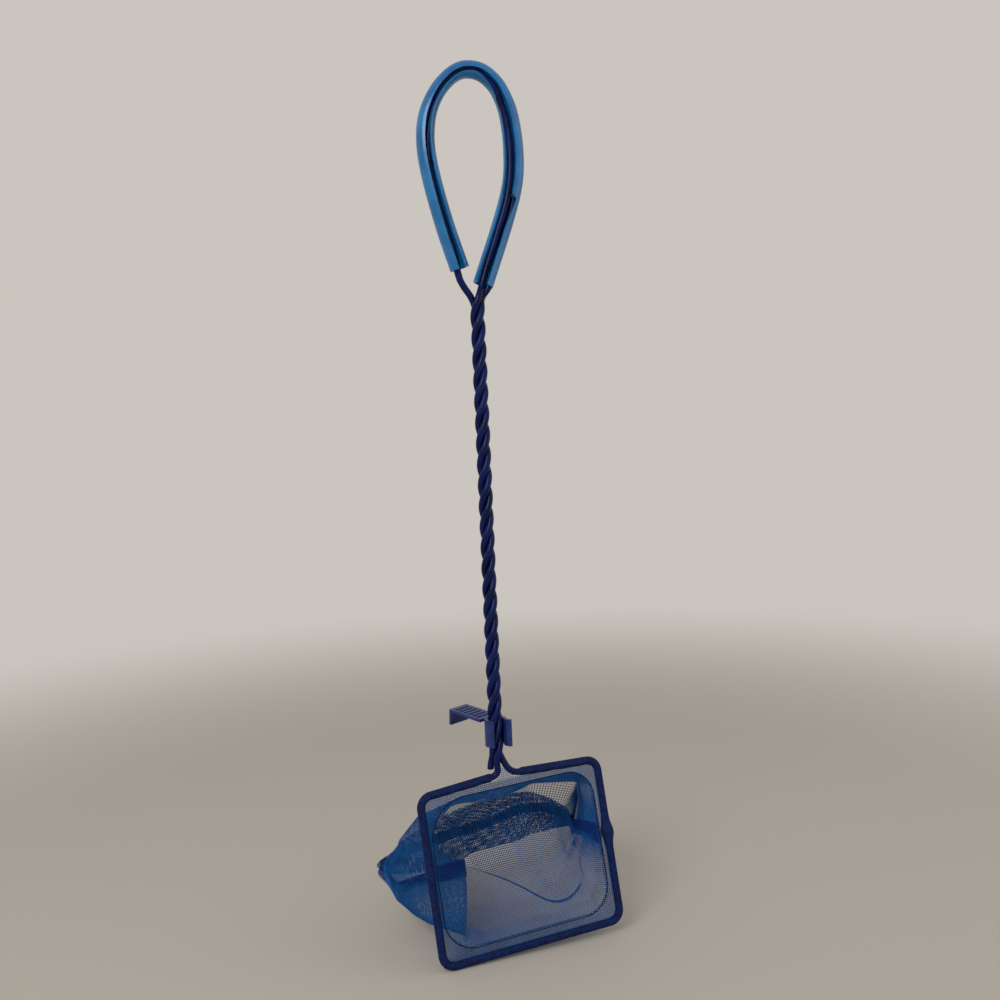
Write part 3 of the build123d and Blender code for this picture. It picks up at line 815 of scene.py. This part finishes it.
# %% Shelf and pinches
fold_plane = 35.0
fold_aside, fold_fan, fold_drop = 0.27, 0.002, -0.34
shelf_line = np.array([
    (-20, 35.3), (-9.5, 29.2), (1.8, 22), (14.7, 11.6), (21.7, 5.7), (29.3, 3.8), (37.6, 5.9), (41.4, 10.5)
])
shelf_rise = 1.8
shelf_depth = 11.0
shelf_reach = 22.0
shelf_left, shelf_right, shelf_fade = -24, 44, 6
shelf_passes = 160
pinch_lines = [
    np.array([(35.1, 25.0), (38.5, 31.5), (40.5, 39.0)]),
    np.array([(50.1, -7.1), (47.1, -1.1), (42.8, 13.2), (42.3, 28.4)]),
]
pinch_depths = [6.0, 2.2]
pinch_width = 1.3
pinch_fade = 4
mouth_fade = 6


def folded(grid):
    """Each place p is carried along the fold's way to the upright plane, where its height h over the
    shelf line gives a push of depth smooth(h) exp(-h / reach), and its distance d from a pinch line
    a push of depth exp(-(d / width)^2). Pushes fade to nothing at the mouth, at the far seam and past
    the lines' ends."""
    aside = fold_aside + fold_fan * grid[..., 0]
    way = np.stack([aside, np.ones_like(aside), np.full_like(aside, fold_drop)], axis=-1)
    on_plane = grid - (grid[..., 1:2] - fold_plane) * way
    x, z = on_plane[..., 0], on_plane[..., 2]
    line = relaxed(even_steps(shelf_line, skin_step), shelf_passes)
    height = z - np.interp(x, line[:, 0], line[:, 1])
    ends = smooth((x - shelf_left) / shelf_fade) * smooth((shelf_right - x) / shelf_fade)
    push = shelf_depth * ends * smooth(height / shelf_rise + 0.5)
    push = push * np.exp(-np.maximum(height, 0) / shelf_reach)
    for line, depth in zip(pinch_lines, pinch_depths):
        aside = x - np.interp(z, line[:, 1], line[:, 0])
        ends = smooth((z - line[0, 1]) / pinch_fade) * smooth((line[-1, 1] - z) / pinch_fade)
        push = push + depth * ends * np.exp(-((aside / pinch_width) ** 2))
    fade = np.linspace(1, 0, len(grid))[:, None]
    fade = fade * smooth(np.arange(len(grid)) * skin_step / mouth_fade)[:, None]
    return grid + (push * fade)[..., None] * way


# %% [markdown]
# ## Panels
# Each panel is skinned, the lower one gets its small folds, and both are threaded. Towards the far
# seam the cloth has been pressed in its folds, so the threads lie flatter there.

# %% Panels, counted in threads from the mouth
bag_depth = 95
pressed_from = 42
pressed_over = 15
for name, mouth, lines in (
    ("upper", mouth_line(mouth_high, corner_top_left, corner_top_right), upper_lines),
    ("lower", mouth_line(mouth_low, corner_low_left, corner_low_right), lower_lines),
):
    shape = skin(mouth, lines)
    if name == "lower":
        shape = folded(shape)
    grid = crossings(shape, lines[0][0][-1] // int(thread_pitch), bag_depth)
    row = np.indices(grid.shape[:2])[0]
    mesh = netting(grid, thread_width, pressed=smooth((row - pressed_from) / pressed_over))
    panel = new_piece(f"bag_{name}_netting", *mesh, net_cloth, "mesh_cloth")
    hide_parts(f"bag_{name}_panel")

# %% [markdown]
# ## Overlocked seams
# Along both sides and the far edge, both panels' edges are turned over and bound together, so four
# layers of netting lie on each other there, a little crumpled. A solid band would be darker and
# flatter than the real seam. So each seam is a strip of netting in three rippled layers, each shifted
# against the next, so that their threads fill each other's openings.

# %% Seams
band_pitch = 0.8
band_layers = 3
band_thick = 0.9
band_thread = 0.3
ripple_height = 0.28
ripple_length = 3.4
ripple_slant = 5
ripple_shift = 0.31
waver_share = 0.06
waver_rate = 1.3
waver_shift = 2
left_widths = [7.0, 8.0, 8.0, 5.5, 4.8]
right_widths = [9.5, 8.6, 8.2, 7.0]
far_widths = [4.6, 4.8, 4.7]

seam_cloth = finish(
    "seam_cloth", srgb(14, 50, 122), srgb(26, 74, 156), patch=1.6, roughness=(0.5, 0.7),
    grain=0.3, bump=0.05, sockets={"Specular IOR Level": 0.15},
)


def seam_strip(line, widths):
    """Place = line + w across + (layer offset + ripple) face, the ripple a sine of the way along, of w
    and of the layer's number, and w from minus to plus half of the width there, which wavers."""
    line = even_steps(relaxed(even_steps(line, skin_step), seam_passes), band_pitch)
    way = unit(np.gradient(line, axis=0))
    upright = np.array([0.0, 0.0, 1.0])
    across = unit(upright - way * (way @ upright)[:, None])
    face = np.cross(way, across)
    share = np.linspace(0, 1, len(line))
    wide = np.interp(share, np.linspace(0, 1, len(widths)), widths)
    along = np.arange(len(line))[:, None] * band_pitch
    count = int(round(max(widths) / band_pitch))
    meshes = []
    for layer in range(band_layers):
        side = np.linspace(-0.5, 0.5, count + 1) + (layer % 2 - 0.5) * 0.5 / count
        w = wide[:, None] * side * (1 + waver_share * np.sin(along * waver_rate + waver_shift * layer))
        ripple = np.sin(2 * pi * (along / ripple_length + w / ripple_slant + ripple_shift * layer))
        lift = (layer / (band_layers - 1) - 0.5) * band_thick + ripple_height * ripple
        slip = ((layer // 2) * 0.5 * band_pitch) * way[:, None]
        grid = line[:, None] + slip + w[..., None] * across[:, None] + lift[..., None] * face[:, None]
        meshes.append(netting(grid, band_thread))
    return joined(meshes)


for name, line, widths in (
    ("left_side", left_seam, left_widths),
    ("right_side", right_seam, right_widths),
    ("far_edge", far_seam, far_widths),
):
    band = new_piece(f"{name}_overlock", *seam_strip(line, widths), seam_cloth, "seam_cloth")
    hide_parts(f"{name}_seam")

# %% [markdown]
# ## Cloth sizes
# Cloth has a size before it is sewn. Each panel was cut as wide and as deep as its threads are long,
# folds and all. The flap is a long strip, doubled over the wire. The gusset is the little triangle at
# the neck.

# %% [markdown]
# ## Floor and light
# The net is shown on a plain pale floor that fades into a pale background. One large soft lamp stands
# at the front left, a weak one at the right, and the world fills the shadows.

# %% Floor
pale = srgb(202, 197, 190)
floor_tone = srgb(197, 190, 180)
floor_reach = 1.1
floor_sides = 64
fade_start = 0.35
fade_end = 1.0

floor_mesh = bpy.data.meshes.new("floor")
angles = np.linspace(0, 2 * pi, floor_sides, endpoint=False)
lowest = float(cad_box[0][2])
rim = np.stack([np.cos(angles), np.sin(angles), np.zeros(floor_sides)], axis=1) * floor_reach
floor_mesh.from_pydata(rim + [0, 0, lowest], [], [list(range(floor_sides))])
floor = bpy.data.objects.new("floor", floor_mesh)
bpy.context.scene.collection.objects.link(floor)

floor_finish = bpy.data.materials.new("floor_paper")
floor_finish.use_nodes = True
tree = floor_finish.node_tree
paper = tree.nodes["Principled BSDF"]
paper.inputs["Base Color"].default_value = floor_tone
paper.inputs["Roughness"].default_value = 0.9
paper.inputs["Specular IOR Level"].default_value = 0.1
place = tree.nodes.new("ShaderNodeTexCoord")
distance = tree.nodes.new("ShaderNodeVectorMath")
distance.operation = "LENGTH"
flat = tree.nodes.new("ShaderNodeVectorMath")
flat.operation = "MULTIPLY"
flat.inputs[1].default_value = (1, 1, 0)
tree.links.new(place.outputs["Object"], flat.inputs[0])
tree.links.new(flat.outputs["Vector"], distance.inputs[0])
fade = tree.nodes.new("ShaderNodeMapRange")
fade.interpolation_type = "SMOOTHSTEP"
fade.inputs["From Min"].default_value = fade_start
fade.inputs["From Max"].default_value = fade_end
tree.links.new(distance.outputs["Value"], fade.inputs["Value"])
clear = tree.nodes.new("ShaderNodeBsdfTransparent")
blend = tree.nodes.new("ShaderNodeMixShader")
tree.links.new(fade.outputs["Result"], blend.inputs["Fac"])
tree.links.new(paper.outputs["BSDF"], blend.inputs[1])
tree.links.new(clear.outputs["BSDF"], blend.inputs[2])
tree.links.new(blend.outputs["Shader"], tree.nodes["Material Output"].inputs["Surface"])
floor_mesh.materials.append(floor_finish)
print("floor at", round(lowest / mm, 1), "mm")

# %% Light
world = bpy.data.worlds.new("studio")
world.use_nodes = True
bpy.context.scene.world = world
tree = world.node_tree
seen = tree.nodes["Background"]
seen.inputs["Color"].default_value = pale
seen.inputs["Strength"].default_value = 1.0
filling = tree.nodes.new("ShaderNodeBackground")
filling.inputs["Color"].default_value = (1.0, 0.98, 0.95, 1.0)
filling.inputs["Strength"].default_value = 0.45
rays = tree.nodes.new("ShaderNodeLightPath")
either = tree.nodes.new("ShaderNodeMath")
either.operation = "MAXIMUM"
any_of = tree.nodes.new("ShaderNodeMath")
any_of.operation = "MAXIMUM"
choose = tree.nodes.new("ShaderNodeMixShader")
tree.links.new(rays.outputs["Is Camera Ray"], either.inputs[0])
tree.links.new(rays.outputs["Is Glossy Ray"], either.inputs[1])
tree.links.new(either.outputs["Value"], any_of.inputs[0])
tree.links.new(rays.outputs["Is Transmission Ray"], any_of.inputs[1])
tree.links.new(any_of.outputs["Value"], choose.inputs["Fac"])
tree.links.new(filling.outputs["Background"], choose.inputs[1])
tree.links.new(seen.outputs["Background"], choose.inputs[2])
tree.links.new(choose.outputs["Shader"], tree.nodes["World Output"].inputs["Surface"])


def lamp(name, place, aim, size, power):
    """Square soft lamp at a place, turned to its aim, metres and watts."""
    data = bpy.data.lights.new(name, "AREA")
    data.size = size
    data.energy = power
    lamp_object = bpy.data.objects.new(name, data)
    lamp_object.location = place
    lamp_object.rotation_mode = "QUATERNION"
    lamp_object.rotation_quaternion = (Vector(aim) - Vector(place)).to_track_quat("-Z", "Y")
    bpy.context.scene.collection.objects.link(lamp_object)


middle = (0.0, 0.0, -0.25)
lamp("key_lamp", (-0.75, -0.75, 0.45), middle, size=0.6, power=7.0)
lamp("side_lamp", (0.9, -0.4, 0.1), middle, size=0.8, power=1.5)
bpy.context.scene.view_settings.view_transform = "Standard"
